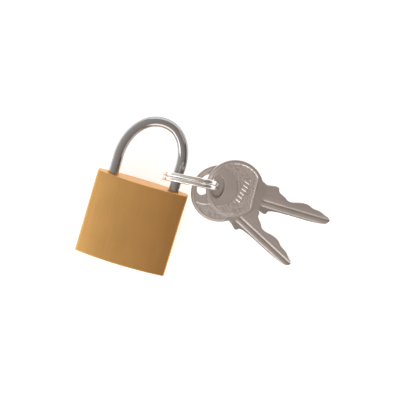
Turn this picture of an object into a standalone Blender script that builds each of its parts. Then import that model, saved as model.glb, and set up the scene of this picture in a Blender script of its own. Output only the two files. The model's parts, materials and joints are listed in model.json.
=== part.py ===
"""Brass padlock lying on its back, with a split ring and two keys on its shackle.

X runs across the case, Y toward the shackle, Z out of the front face. The origin is the middle of
the flat on the case's back. The lock is shut but unlocked: the plug is turned to its open position.
"""
import math

import bmesh
import bpy
from mathutils import Matrix, Vector

MM = 0.001

# Case, in millimetres.
CASE_WIDTH = 40.0
CASE_HEIGHT = 36.5
CASE_THICKNESS = 14.0
SIDE_THICKNESS = 5.8
SIDE_CORNER_R = 1.5
BACK_FLAT_WIDTH = 8.0
CASE_EDGE = 0.35
MID_Z = CASE_THICKNESS / 2
TOP_Y = CASE_HEIGHT / 2
SIDE_X = CASE_WIDTH / 2

# Shackle.
LEG_X = 13.4
WIRE_R = 2.25
ARCH_Y = TOP_Y + 9.0
ARCH_HEIGHT = 18.0
ARCH_POWER = 2.1
ARCH_LEAN = 1.2
HEEL_END_Y = TOP_Y - 18.0
TOE_END_Y = TOP_Y - 9.3
LIFT = 12.0
LEG_BORE_R = WIRE_R + 0.3
HEEL_BORE_END_Y = HEEL_END_Y - 8.0
TOE_BORE_END_Y = TOE_END_Y - 0.8
HEEL_FLAT_X = -LEG_X - 1.3
HEEL_PIN_Y = TOP_Y - 2.95

# Cylinder plug and its cam pin; the eccentric pin carries the bolt through its throw.
PLUG_R = 5.1
PLUG_BORE_R = PLUG_R + 0.15
PLUG_FACE_Y = -TOP_Y + 0.2
PLUG_END_Y = 7.4
GROOVE_Y = 4.9
GROOVE_R = 4.3
GROOVE_HALF_WIDTH = 0.95
SMALL_PIN_R = 0.75
SMALL_BORE_R = 0.9
PLUG_PIN_X = -(GROOVE_R + SMALL_PIN_R + 0.15)
PLUG_PIN_TOP = 10.5
CAM_OFFSET = 0.75
CAM_PIN_R = 0.8
CAM_BORE_R = 2.3
KEYWAY_HALF_WIDTH = 1.15
KEYWAY_TOP = 3.6
KEYWAY_BOTTOM = -4.4
WARD_TOP = -1.1
WARD_BOTTOM = -2.3
WARD_DEPTH = 0.35

# Locking bolt, across the case.
BOLT_Y = TOP_Y - 5.05
BOLT_R = 1.6
BOLT_TIP_X = 10.6
BOLT_TAIL_X = -4.0
BOLT_BORE_R = 1.85
BOLT_BORE_END_X = -9.6
BOLT_PLUG_X = 16.4
NOTCH_HALF = BOLT_R + 0.35
NOTCH_FLOOR_X = LEG_X - WIRE_R + 1.5

# Pin stacks: each key pin reaches from its cut in the key to the plug's surface.
STACK_YS = [PLUG_FACE_Y + 4.45 + 4.0 * place for place in range(4)]
CHAMBER_R = 1.4
PIN_R = 1.22
CHAMBER_FLOOR = 0.9
KEY_PIN_TOP = 4.9
KEY_CUT_HEIGHTS = [1.65, 2.7, 2.5, 1.45]
DRIVER_X = 5.4
DRIVER_LENGTH = 4.6
DRIVER_TRAVEL = 1.0
DRIVER_NOSE_R = 0.58
DRIVER_NOSE = DRIVER_LENGTH + 1.1
CAP_X = 17.0
CAP_END_X = SIDE_X - 0.1
CAP_R = 1.28

# Split ring, standing on its edge round the toe leg.
RING_OUTER_R = 12.6
RING_RADIAL = 1.1
RING_AXIAL = 1.7
RING_GAP = 0.3
RING_CENTRE = Vector((19.4, TOP_Y + 7.4, 12.9))
RING_YAW = math.radians(5.5)
RING_LEAN = math.radians(10.5)
RING_START = math.radians(26)
RING_END = math.radians(694)
RING_CROSSOVER_HALF = math.radians(20)

# Keys: outlines start at the bow's centre, with the blade along +X and the cuts on +Y.
KEY_THICKNESS = 1.8
BOW_R = 12.4
BOW_START = 32.0
BOW_END = 331.0
HOLE_CENTRE = (-7.2, -1.3)
HOLE_RADII = (2.9, 5.0)
HOLE_TURN = 10.0
BLADE_BOTTOM = -4.5
NECK_AND_BLADE = [
    (13.0, -6.3), (16.0, -7.3), (17.1, BLADE_BOTTOM), (41.5, BLADE_BOTTOM), (44.1, -1.7),
    (42.9, -0.6), (40.7, 0.2), (38.5, 1.1), (35.1, 1.3), (32.7, 2.5), (29.4, 2.4),
    (25.7, 1.3), (23.7, 1.4), (21.9, 2.7), (18.8, 4.0), (18.2, 6.3), (13.0, 5.5),
]
KEY_GROOVES = [(-2.65, -1.35, 1), (-0.9, 0.4, -1)]
GROOVE_START_X = 12.5
GROOVE_DEPTH = 0.4
KEYS = {
    "front_key": {"bow": (38.2, TOP_Y + 8.6, 6.5), "yaw": -0.8, "slope": 6.6},
    "back_key": {"bow": (32.8, TOP_Y + 4.1, 3.15), "yaw": -26.7, "slope": 2.7},
}

COARSE = 16
ROUND = 24
FINE = 48


def clear_scene():
    for old in list(bpy.data.objects):
        bpy.data.objects.remove(old, do_unlink=True)


def collection(name):
    made = bpy.data.collections.new(name)
    bpy.context.scene.collection.children.link(made)
    return made


def material(name, colour, roughness, metallic=1.0):
    made = bpy.data.materials.new(name)
    made.use_nodes = True
    shader = made.node_tree.nodes["Principled BSDF"]
    shader.inputs["Base Color"].default_value = (*colour, 1.0)
    shader.inputs["Roughness"].default_value = roughness
    shader.inputs["Metallic"].default_value = metallic
    return made


clear_scene()
PARTS = collection("padlock")
CUTTERS = collection("cutters")
BRASS = material("brass", (0.60, 0.36, 0.13), 0.32)
PLUG_BRASS = material("plug_brass", (0.66, 0.45, 0.20), 0.28)
CHROME = material("chrome", (0.55, 0.55, 0.56), 0.12)
NICKEL = material("nickel", (0.42, 0.37, 0.33), 0.30)
RING_STEEL = material("ring_steel", (0.62, 0.60, 0.58), 0.18)
PIN_BRASS = material("pin_brass", (0.70, 0.50, 0.22), 0.25)
SPRING_STEEL = material("spring_steel", (0.45, 0.45, 0.46), 0.35)


def place(name, data, finish, where=(0, 0, 0), turn=None):
    """Links an object at a place in millimetres; a piece with no finish is a cutter."""
    made = bpy.data.objects.new(name, data)
    made.location = Vector(where) * MM
    if turn is not None:
        made.rotation_mode = "QUATERNION"
        made.rotation_quaternion = turn
    if finish is None:
        CUTTERS.objects.link(made)
        made.hide_render = True
        made.display_type = "WIRE"
    else:
        PARTS.objects.link(made)
        data.materials.append(finish)
    return made


def along(axis):
    """The turn that carries local +Z onto an axis."""
    return Vector(axis).to_track_quat("Z", "Y")


def rod(name, radius, start, end, sides=ROUND):
    """A cylindrical cutter between two points."""
    first, last = Vector(start), Vector(end)
    mesh = bpy.data.meshes.new(name)
    shape = bmesh.new()
    bmesh.ops.create_cone(
        shape, cap_ends=True, segments=sides, radius1=radius * MM, radius2=radius * MM,
        depth=(last - first).length * MM,
    )
    shape.to_mesh(mesh)
    shape.free()
    return place(name, mesh, None, (first + last) / 2, along(last - first))


def box(name, low, high):
    """A box cutter between two corners."""
    mesh = bpy.data.meshes.new(name)
    shape = bmesh.new()
    bmesh.ops.create_cube(shape, size=1.0)
    size = (Vector(high) - Vector(low)) * MM
    bmesh.ops.scale(shape, vec=size, verts=shape.verts)
    shape.to_mesh(mesh)
    shape.free()
    return place(name, mesh, None, (Vector(low) + Vector(high)) / 2)


def turned(name, profile, base, axis, finish, sides=ROUND):
    """A turned piece: (radius, height) points from its top to its foot, spun about its axis."""
    mesh = bpy.data.meshes.new(name)
    points = [(radius * MM, 0.0, height * MM) for radius, height in profile]
    mesh.from_pydata(points, [(i, i + 1) for i in range(len(points) - 1)], [])
    made = place(name, mesh, finish, base, along(axis))
    screw = made.modifiers.new("turn", "SCREW")
    screw.axis = "Z"
    screw.steps = screw.render_steps = sides
    screw.use_merge_vertices = True
    screw.merge_threshold = 0.00001
    screw.use_smooth_shade = True
    return made


def as_mesh(source):
    """Replaces a curve object by its welded mesh, ready to be cut."""
    bpy.context.view_layer.update()
    held = source.evaluated_get(bpy.context.evaluated_depsgraph_get())
    mesh = bpy.data.meshes.new_from_object(held)
    shape = bmesh.new()
    shape.from_mesh(mesh)
    bmesh.ops.remove_doubles(shape, verts=shape.verts, dist=0.000005)
    shape.to_mesh(mesh)
    shape.free()
    name, home, where = source.name, source.users_collection[0], source.matrix_world.copy()
    curve = source.data
    bpy.data.objects.remove(source)
    bpy.data.curves.remove(curve)
    mesh.name = name
    made = bpy.data.objects.new(name, mesh)
    made.matrix_world = where
    home.objects.link(made)
    if home == CUTTERS:
        made.hide_render = True
        made.display_type = "WIRE"
    return made


def sheet(name, outlines, thickness, finish=None, where=(0, 0, 0), turn=None):
    """A flat piece with straight walls; later outlines are holes in the first."""
    curve = bpy.data.curves.new(name, "CURVE")
    curve.dimensions = "2D"
    curve.fill_mode = "BOTH"
    curve.extrude = thickness / 2 * MM
    for outline in outlines:
        line = curve.splines.new("POLY")
        line.points.add(len(outline) - 1)
        for point, (x, y) in zip(line.points, outline):
            point.co = (x * MM, y * MM, 0.0, 1.0)
        line.use_cyclic_u = True
    return as_mesh(place(name, curve, finish, where, turn))


def wire(name, points, radius, finish, where=(0, 0, 0), turn=None, rounding=2):
    """A round wire along a list of points."""
    curve = bpy.data.curves.new(name, "CURVE")
    curve.dimensions = "3D"
    curve.bevel_depth = radius * MM
    curve.bevel_resolution = rounding
    curve.use_fill_caps = True
    line = curve.splines.new("POLY")
    line.points.add(len(points) - 1)
    for point, at in zip(line.points, points):
        point.co = (*(Vector(at) * MM), 1.0)
    return place(name, curve, finish, where, turn)


def cut(target, cutters):
    """Takes each cutter out of the target."""
    for tool in cutters:
        step = target.modifiers.new(tool.name, "BOOLEAN")
        step.operation = "DIFFERENCE"
        step.solver = "EXACT"
        step.object = tool


def soften(target, width, angle=40.0, segments=2):
    step = target.modifiers.new("edges", "BEVEL")
    step.width = width * MM
    step.segments = segments
    step.limit_method = "ANGLE"
    step.angle_limit = math.radians(angle)


def smooth(made, angle=35.0):
    made.data.shade_smooth()
    made.data.set_sharp_from_angle(angle=math.radians(angle))


def arc_points(centre, radii, start, end, count):
    """Points along an elliptic arc, both ends included, angles in degrees."""
    points = []
    for step in range(count + 1):
        angle = math.radians(start + (end - start) * step / count)
        points.append((centre[0] + radii[0] * math.cos(angle), centre[1] + radii[1] * math.sin(angle)))
    return points


def coil(length, radius, wire_radius, turns, per_turn):
    """Points of a compression spring standing on z = 0."""
    count = turns * per_turn
    rise = length - 2 * wire_radius
    return [
        (
            radius * math.cos(2 * math.pi * step / per_turn),
            radius * math.sin(2 * math.pi * step / per_turn),
            wire_radius + rise * step / count,
        )
        for step in range(count + 1)
    ]


def case_outline():
    """The case's section across its height: a lens with a flat on the back and rounded sides."""
    bulge = (CASE_THICKNESS - SIDE_THICKNESS) / 2
    radius = (SIDE_X**2 + bulge**2) / (2 * bulge)
    corner_x = SIDE_X - SIDE_CORNER_R
    corner = (SIDE_CORNER_R, SIDE_CORNER_R)
    reach = math.sqrt((radius - SIDE_CORNER_R) ** 2 - corner_x**2)
    spread = math.degrees(math.asin(corner_x / (radius - SIDE_CORNER_R)))
    front_z = CASE_THICKNESS - radius
    front_corner = arc_points((corner_x, front_z + reach), corner, 0, 90 - spread, 3)[:-1]
    front = front_corner + arc_points((0, front_z), (radius, radius), 90 - spread, 90 + spread, 20)
    front += [(-x, z) for x, z in reversed(front_corner)]
    flat = BACK_FLAT_WIDTH / 2
    back_z = math.sqrt(radius**2 - flat**2)
    left = arc_points((-corner_x, back_z - reach), corner, 180, 270 - spread, 3)[:-1]
    flat_angle = math.degrees(math.asin(flat / radius))
    left += arc_points((0, back_z), (radius, radius), 270 - spread, 270 - flat_angle, 8)
    right = [(-x, z) for x, z in reversed(left)]
    return front + left + right


def lock_body():
    upright = Matrix.Rotation(math.radians(90), 4, "X").to_quaternion()
    case = sheet("lock_body", [case_outline()], CASE_HEIGHT, BRASS, turn=upright)
    soften(case, CASE_EDGE)
    cutters = [
        rod("plug_bore", PLUG_BORE_R, (0, -TOP_Y - 1, MID_Z), (0, PLUG_END_Y + 0.3, MID_Z), FINE),
        rod("cam_bore", CAM_BORE_R, (0, PLUG_END_Y - 1, MID_Z), (0, BOLT_Y + 1, MID_Z)),
        rod("bolt_bore", BOLT_BORE_R, (BOLT_BORE_END_X, BOLT_Y, MID_Z), (SIDE_X + 1, BOLT_Y, MID_Z)),
        rod("heel_bore", LEG_BORE_R, (-LEG_X, HEEL_BORE_END_Y, MID_Z), (-LEG_X, TOP_Y + 1, MID_Z)),
        rod("toe_bore", LEG_BORE_R, (LEG_X, TOE_BORE_END_Y, MID_Z), (LEG_X, TOP_Y + 1, MID_Z)),
        rod("heel_pin_bore", SMALL_BORE_R, (-SIDE_X - 1, HEEL_PIN_Y, MID_Z), (-LEG_X, HEEL_PIN_Y, MID_Z),
            COARSE),
        rod("plug_pin_bore", SMALL_BORE_R, (PLUG_PIN_X, GROOVE_Y, -1),
            (PLUG_PIN_X, GROOVE_Y, PLUG_PIN_TOP + 0.4), COARSE),
    ]
    for number, y in enumerate(STACK_YS, 1):
        inner, mouth = (3, y, MID_Z), (SIDE_X + 1, y, MID_Z)
        cutters.append(rod(f"chamber_bore_{number}", CHAMBER_R, inner, mouth, COARSE))
    cut(case, cutters)
    smooth(case)


def keyway_outline():
    """The keyway seen from the plug's inner end: a slot with one ward."""
    side, ward = KEYWAY_HALF_WIDTH, KEYWAY_HALF_WIDTH - WARD_DEPTH
    return [
        (-side, KEYWAY_BOTTOM), (side, KEYWAY_BOTTOM), (side, WARD_BOTTOM), (ward, WARD_BOTTOM),
        (ward, WARD_TOP), (side, WARD_TOP), (side, KEYWAY_TOP), (-side, KEYWAY_TOP),
    ]


def cylinder_plug():
    length = PLUG_END_Y - PLUG_FACE_Y
    groove = GROOVE_Y - PLUG_FACE_Y
    profile = [
        (0, length), (PLUG_R - 0.3, length), (PLUG_R, length - 0.3),
        (PLUG_R, groove + GROOVE_HALF_WIDTH), (GROOVE_R, groove + GROOVE_HALF_WIDTH),
        (GROOVE_R, groove - GROOVE_HALF_WIDTH), (PLUG_R, groove - GROOVE_HALF_WIDTH),
        (PLUG_R, 0.3), (PLUG_R - 0.3, 0), (0, 0),
    ]
    plug = turned("cylinder_plug", profile, (0, PLUG_FACE_Y, MID_Z), (0, 1, 0), PLUG_BRASS, FINE)
    upright = Matrix.Rotation(math.radians(90), 4, "X").to_quaternion()
    slot_length = STACK_YS[-1] + 3 - (PLUG_FACE_Y - 1)
    slot_middle = PLUG_FACE_Y - 1 + slot_length / 2
    cutters = [sheet("keyway", [keyway_outline()], slot_length, None, (0, slot_middle, MID_Z), upright)]
    for number, y in enumerate(STACK_YS, 1):
        foot, top = MID_Z + CHAMBER_FLOOR, MID_Z + PLUG_R + 1
        cutters.append(rod(f"plug_chamber_{number}", CHAMBER_R, (0, y, foot), (0, y, top), COARSE))
    hole = (-CAM_OFFSET, PLUG_END_Y - 3.3, MID_Z + CAM_OFFSET)
    cutters.append(rod("cam_hole", CAM_PIN_R + 0.15, hole, (hole[0], PLUG_END_Y + 1, hole[2]), COARSE))
    cut(plug, cutters)


def chamfered(radius, length, chamfer=0.2):
    return [(0, length), (radius - chamfer, length), (radius, length - chamfer),
            (radius, chamfer), (radius - chamfer, 0), (0, 0)]


def bolt_works():
    """The sliding bolt with its cam pocket, its spring, the cam pin and the plug of its bore."""
    bolt_length = BOLT_TIP_X - BOLT_TAIL_X
    bolt = turned("locking_bolt", chamfered(BOLT_R, bolt_length, 0.35), (BOLT_TAIL_X, BOLT_Y, MID_Z),
                  (1, 0, 0), RING_STEEL)
    pocket = CAM_PIN_R + 0.25
    low = (-CAM_OFFSET - pocket, BOLT_Y - 3, MID_Z + CAM_OFFSET - CAM_PIN_R - 0.25)
    high = (-CAM_OFFSET + pocket, BOLT_Y + 0.95, MID_Z + 3)
    cut(bolt, [box("cam_pocket", low, high)])
    spring_length = BOLT_TAIL_X - BOLT_BORE_END_X - 0.6
    wire("bolt_spring", coil(spring_length, 1.2, 0.22, 5, 8), 0.22, SPRING_STEEL,
         (BOLT_BORE_END_X + 0.3, BOLT_Y, MID_Z), along((1, 0, 0)))
    cam_foot = PLUG_END_Y - 3.0
    turned("plug_cam_pin", chamfered(CAM_PIN_R, BOLT_Y + 0.65 - cam_foot, 0.15),
           (-CAM_OFFSET, cam_foot, MID_Z + CAM_OFFSET), (0, 1, 0), RING_STEEL, COARSE)
    turned("bolt_bore_plug", chamfered(BOLT_BORE_R - 0.12, CAP_END_X - BOLT_PLUG_X),
           (BOLT_PLUG_X, BOLT_Y, MID_Z), (1, 0, 0), BRASS)


def shackle():
    """One bent wire: heel leg, arch and toe leg, with the heel's flat and groove and the toe's notch."""
    path = [(-LEG_X, HEEL_END_Y, 0)]
    segments = 26
    for step in range(segments + 1):
        angle = math.pi - math.pi * step / segments
        across, up = math.cos(angle), max(0.0, math.sin(angle))
        power = 2 / ARCH_POWER
        x = LEG_X * math.copysign(abs(across) ** power, across) + ARCH_LEAN * up**power
        path.append((x, ARCH_Y + ARCH_HEIGHT * up**power, 0))
    path.append((LEG_X, TOE_END_Y, 0))
    bow = as_mesh(wire("shackle", path, WIRE_R, CHROME, (0, 0, MID_Z), rounding=6))
    soften(bow, 0.35, 60, 1)
    flat_top = HEEL_PIN_Y + SMALL_PIN_R + 0.2
    flat_foot = HEEL_PIN_Y - SMALL_PIN_R - 0.2 - LIFT
    outside = -LEG_X - WIRE_R - 1
    neck_r, flange_r, width = WIRE_R - 0.95, WIRE_R + 1.75, 2 * SMALL_PIN_R + 0.4
    section = [(flange_r, width), (flange_r, 0), (neck_r, 0), (neck_r, width), (flange_r, width)]
    groove = turned("heel_groove", section, (-LEG_X, flat_foot, MID_Z), (0, 1, 0), None)
    cutters = [
        box("heel_flat", (outside, flat_foot, 0), (HEEL_FLAT_X, flat_top, CASE_THICKNESS)),
        groove,
        box("toe_notch", (LEG_X - WIRE_R - 1, BOLT_Y - NOTCH_HALF, 0),
            (NOTCH_FLOOR_X, BOLT_Y + NOTCH_HALF, CASE_THICKNESS)),
    ]
    cut(bow, cutters)
    smooth(bow)


def heel_parts():
    """The cap and spring under the heel leg, and the pin that keeps the leg in."""
    cap_foot = HEEL_END_Y - 1.5
    turned("heel_spring_cap", chamfered(WIRE_R, 1.2), (-LEG_X, cap_foot, MID_Z), (0, 1, 0), PIN_BRASS)
    foot = HEEL_BORE_END_Y + 0.3
    wire("shackle_spring", coil(cap_foot - 0.3 - foot, 1.75, 0.3, 7, 10), 0.3, SPRING_STEEL,
         (-LEG_X, foot, MID_Z), along((0, 1, 0)))
    length = HEEL_FLAT_X - 0.2 + SIDE_X - 0.15
    turned("shackle_retaining_pin", chamfered(SMALL_PIN_R, length, 0.12), (-SIDE_X + 0.15, HEEL_PIN_Y, MID_Z),
           (1, 0, 0), RING_STEEL, COARSE)
    turned("plug_retaining_pin", chamfered(SMALL_PIN_R, PLUG_PIN_TOP - 0.4, 0.12),
           (PLUG_PIN_X, GROOVE_Y, 0.4), (0, 0, 1), RING_STEEL, COARSE)


def pin_stacks():
    """Key pin, driver pin with its spring nose, spring and chamber cap of each stack."""
    spring_foot = DRIVER_X + DRIVER_LENGTH + DRIVER_TRAVEL + 0.3
    nose = [(0, DRIVER_NOSE), (DRIVER_NOSE_R - 0.1, DRIVER_NOSE), (DRIVER_NOSE_R, DRIVER_NOSE - 0.1),
            (DRIVER_NOSE_R, DRIVER_LENGTH)]
    driver = nose + chamfered(PIN_R, DRIVER_LENGTH)[1:]
    for number, (y, cut_height) in enumerate(zip(STACK_YS, KEY_CUT_HEIGHTS), 1):
        length = KEY_PIN_TOP - cut_height
        head = [(0, length), (PIN_R - 0.3, length), (PIN_R, length - 0.25)]
        pointed = head + [(PIN_R, 0.7), (0.35, 0), (0, 0)]
        turned(f"key_pin_{number}", pointed, (0, y, MID_Z + cut_height), (0, 0, 1), PIN_BRASS, COARSE)
        turned(f"driver_pin_{number}", driver, (DRIVER_X, y, MID_Z), (1, 0, 0), PIN_BRASS, COARSE)
        wire(f"pin_spring_{number}", coil(CAP_X - 0.3 - spring_foot, 0.92, 0.18, 6, 7), 0.18,
             SPRING_STEEL, (spring_foot, y, MID_Z), along((1, 0, 0)))
        turned(f"chamber_cap_{number}", chamfered(CAP_R, CAP_END_X - CAP_X, 0.15), (CAP_X, y, MID_Z),
               (1, 0, 0), BRASS, COARSE)


def split_ring():
    """A flat wire wound twice round, stepping over by one wire width where its ends tuck in."""
    offset = (RING_AXIAL + RING_GAP) / 2
    middle = RING_OUTER_R - RING_RADIAL / 2
    count = 74
    section = [(-1, -0.6), (-0.6, -1), (0.6, -1), (1, -0.6), (1, 0.6), (0.6, 1), (-0.6, 1), (-1, 0.6)]
    mesh = bpy.data.meshes.new("split_ring")
    shape = bmesh.new()
    loops = []
    for place_on in range(count + 1):
        angle = RING_START + (RING_END - RING_START) * place_on / count
        share = (angle - 2 * math.pi + RING_CROSSOVER_HALF) / (2 * RING_CROSSOVER_HALF)
        share = min(1.0, max(0.0, share))
        height = offset * (2 * (share * share * (3 - 2 * share)) - 1)
        loop = []
        for across, up in section:
            radius = (middle + across * RING_RADIAL / 2) * MM
            z = (height + up * RING_AXIAL / 2) * MM
            loop.append(shape.verts.new((radius * math.cos(angle), radius * math.sin(angle), z)))
        loops.append(loop)
    sides = len(section)
    for low, high in zip(loops, loops[1:]):
        for i in range(sides):
            j = (i + 1) % sides
            shape.faces.new((low[i], low[j], high[j], high[i]))
    shape.faces.new(loops[0])
    shape.faces.new(loops[-1][::-1])
    bmesh.ops.recalc_face_normals(shape, faces=shape.faces)
    shape.to_mesh(mesh)
    shape.free()
    right = Vector((math.cos(RING_YAW), math.sin(RING_YAW), 0))
    lean = Vector((0, math.sin(RING_LEAN), math.cos(RING_LEAN)))
    up = (lean - right * lean.dot(right)).normalized()
    stance = Matrix((right, up, right.cross(up))).transposed().to_quaternion()
    made = place("split_ring", mesh, RING_STEEL, RING_CENTRE, stance)
    smooth(made, 40)


def key(name, bow, yaw, slope):
    """A flat key whose origin is the middle of its bow's hole, where it turns on the ring."""
    hole_x, hole_y = HOLE_CENTRE
    outline = arc_points((0, 0), (BOW_R, BOW_R), BOW_START, BOW_END, 40) + NECK_AND_BLADE
    outline = [(x - hole_x, y - hole_y) for x, y in outline]
    tilt = Matrix.Rotation(math.radians(HOLE_TURN), 2)
    hole = [tilt @ Vector(point) for point in arc_points((0, 0), HOLE_RADII, 0, 345, 23)]
    turn = Matrix.Rotation(math.radians(yaw), 3, "Z") @ Matrix.Rotation(math.radians(slope), 3, "Y")
    where = Vector(bow) + turn @ Vector((hole_x, hole_y, 0))
    made = sheet(name, [outline, hole], KEY_THICKNESS, NICKEL, where, turn.to_quaternion())
    half = KEY_THICKNESS / 2
    for number, (low_y, high_y, side) in enumerate(KEY_GROOVES, 1):
        low_z, high_z = sorted((side * (half - GROOVE_DEPTH), side * (half + 1)))
        groove = box(f"{name}_groove_{number}", (GROOVE_START_X, low_y, low_z), (50, high_y, high_z))
        centre = groove.location / MM - Vector((hole_x, hole_y, 0))
        groove.location = (where + turn @ centre) * MM
        groove.rotation_mode = "QUATERNION"
        groove.rotation_quaternion = turn.to_quaternion()
        cut(made, [groove])


lock_body()
cylinder_plug()
bolt_works()
shackle()
heel_parts()
pin_stacks()
split_ring()
for key_name, stance in KEYS.items():
    key(key_name, **stance)
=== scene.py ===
"""Looks of the brass padlock, its split ring and its two keys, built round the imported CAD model."""

import json
import math

import bmesh
import bpy
import numpy as np
from mathutils import Matrix, Vector
from mathutils.geometry import delaunay_2d_cdt


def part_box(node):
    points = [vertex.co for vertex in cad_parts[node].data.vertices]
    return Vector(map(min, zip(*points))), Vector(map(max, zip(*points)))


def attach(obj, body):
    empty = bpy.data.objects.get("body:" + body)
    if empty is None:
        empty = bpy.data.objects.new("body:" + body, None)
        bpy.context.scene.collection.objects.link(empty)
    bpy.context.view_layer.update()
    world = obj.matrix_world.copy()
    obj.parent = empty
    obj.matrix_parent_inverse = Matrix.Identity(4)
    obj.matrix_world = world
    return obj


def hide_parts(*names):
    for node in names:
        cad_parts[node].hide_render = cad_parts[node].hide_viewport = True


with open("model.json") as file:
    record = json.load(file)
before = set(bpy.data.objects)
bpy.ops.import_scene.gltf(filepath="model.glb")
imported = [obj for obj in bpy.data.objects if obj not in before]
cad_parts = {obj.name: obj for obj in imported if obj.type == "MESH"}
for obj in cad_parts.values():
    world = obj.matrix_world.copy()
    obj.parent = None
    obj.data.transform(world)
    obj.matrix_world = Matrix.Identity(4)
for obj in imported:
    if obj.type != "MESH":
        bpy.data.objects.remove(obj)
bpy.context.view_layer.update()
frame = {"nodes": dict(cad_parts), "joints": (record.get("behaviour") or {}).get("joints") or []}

# Lengths are in millimetres, except under the heading that says metres.
# The keyway end faces -y, the shackle end +y and the front of the case +z.
MM = 0.001
JOINTS = {joint["name"]: joint for joint in frame["joints"]}
TO_LEFT, TO_RIGHT = (-1, 0, 0), (1, 0, 0)
TO_KEYWAY, TO_SHACKLE = (0, -1, 0), (0, 1, 0)
TO_BACK, TO_FRONT = (0, 0, -1), (0, 0, 1)


def node_box(name):
    """Corners of a CAD node in millimetres."""
    low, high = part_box(name)
    return low / MM, high / MM


def node_middle(name):
    """Middle of a CAD node's box in millimetres."""
    low, high = node_box(name)
    return (low + high) / 2


# ---------------------------------------------------------------- sizes shared with the CAD part

# Case.
CASE_LOW, CASE_HIGH = node_box("lock_body")
SIDE_X, TOP_Y, FOOT_Y = CASE_HIGH.x, CASE_HIGH.y, CASE_LOW.y
THICKNESS = CASE_HIGH.z - CASE_LOW.z
MID_Z = (CASE_HIGH.z + CASE_LOW.z) / 2
SIDE_THICKNESS = 5.8
SIDE_CORNER_R = 1.5
BACK_FLAT_WIDTH = 8.0
STACKS = range(1, 5)
CHAMBER_R = 1.4
BOLT_Y = node_middle("locking_bolt").y
HEEL_PIN_Y = node_middle("shackle_retaining_pin").y
PLUG_PIN = node_middle("plug_retaining_pin")

# Shackle.
WIRE_R = 2.25
LEG_X = -node_box("shackle")[0].x - WIRE_R
SPRING_CAP_GAP = 0.3
HEEL_END_Y = node_box("heel_spring_cap")[1].y + SPRING_CAP_GAP
TOE_INSIDE = 9.3
TOE_END_Y = TOP_Y - TOE_INSIDE
ARCH_RISE = 9.0
ARCH_HEIGHT = 18.0
ARCH_POWER = 2.1
ARCH_LEAN = 1.2
LIFT = 12.0

# Plug, with its keyway as (across, up) from its axis.
PLUG_R = 5.1
KEYWAY = [
    (-1.15, -4.4), (1.15, -4.4), (1.15, -2.3), (0.8, -2.3),
    (0.8, -1.1), (1.15, -1.1), (1.15, 3.6), (-1.15, 3.6),
]

# Split ring.
RING_OUTER_R = 12.6
RING_RADIAL = 1.1
RING_AXIAL = 1.7
RING_GAP = 0.3
RING_YAW = math.radians(5.5)
RING_LEAN = math.radians(10.5)
RING_MIDDLE = Vector((19.4, TOP_Y + 7.4, 12.9))

# Keys, measured from the bow's centre with the blade along +x.
KEY_THICKNESS = 1.8
BOW_R = 12.4
HOLE_CENTRE = (-7.2, -1.3)
HOLE_RADII = (2.9, 5.0)
HOLE_TURN = math.radians(10.0)
BOW_START, BOW_END, BOW_STEPS = 32.0, 331.0, 150
HOLE_SWEEP, HOLE_STEPS = -354, 59
KEY_YAWS = {"front_key": -0.8, "back_key": -26.7}
NECK_AND_BLADE = [
    (13.0, -6.3), (16.0, -7.3), (17.1, -4.5), (41.5, -4.5), (44.1, -1.7), (42.9, -0.6), (40.7, 0.2),
    (38.5, 1.1), (35.1, 1.3), (32.7, 2.5), (29.4, 2.4), (25.7, 1.3), (23.7, 1.4), (21.9, 2.7),
    (18.8, 4.0), (18.2, 6.3), (13.0, 5.5),
]

# ---------------------------------------------------------------- sizes of the finer work

# Cutters: how far they start outside a face, and the drill point as a share of the radius.
RUN_OUT = 1
DRILL_POINT = 0.4

# Case: steps round its section, the rounding of its edges, and its drilled bores.
CORNER_STEPS, FRONT_STEPS, BACK_STEPS = 10, 64, 24
CASE_ROUNDING = 0.4
BORE_GAP = 0.3
PLUG_GAP = 0.15
TOE_BORE_GAP = 0.8
PIN_HOLE_R = 0.9
PIN_HOLE_DEPTH = 3.0
PLUG_PIN_HOLE_Z = 0.08
BOLT_BORE_R = 1.85
CAM_BORE_R = 2.3
CAM_BORE_LAP = 1
CHAMBER_DEPTH = 16.0
BORE_SIDES = 64
SMALL_BORE_SIDES = 50

# Caps and pins that show on the case: their chamfer, and their rim as (less radius, less length).
CHAMBER_CAP_R = 1.34
BOLT_CAP_R = 1.78
CAP_SIDES = 48
PIN_R = 0.8
PIN_SIDES = 40
PIN_CHAMFER = 0.2
PIN_RIM = [(0, 0.12), (0.04, 0.04), (0.15, 0)]

# Plug: its edges, the groove for its retaining pin, and the holes in it.
PLUG_CHAMFER = 0.3
PLUG_BREAK = 0.08
GROOVE_FROM_FACE = 22.95
GROOVE_HALF = 0.95
GROOVE_R = 4.3
KEYWAY_DEPTH = 19.4
MOUTH_DEPTH = 0.18
MOUTH_FLARE = (1.18, 1.05)
CHAMBER_FLOOR = 0.9
CAM_HOLE_R = 0.95
CAM_HOLE_DEPTH = 3.3
DRILL_LENGTH = 6
DRILL_SIDES = 32
PLUG_SIDES = 96

# Shackle: steps along its wire, the rounding of its ends as (height, less radius), and the cuts in its legs.
WIRE_SIDES = 48
HEEL_STEPS, ARCH_STEPS, TOE_STEPS = 12, 96, 8
WIRE_END = [(0.0, 0.5), (0.12, 0.22), (0.3, 0.06), (0.55, 0.0)]
FLAT_FROM_AXIS = 1.3
FLAT_SPARE = 0.95
CUTTER_REACH = 4
LEG_GROOVE = [
    (WIRE_R - 0.95, 0.3), (WIRE_R + 0.6, -0.1), (CUTTER_REACH, -0.1),
    (CUTTER_REACH, 2.0), (WIRE_R + 0.6, 2.0), (WIRE_R - 0.95, 1.6),
]
NOTCH_HALF = 1.95
NOTCH_DEPTH = 1.5

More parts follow.
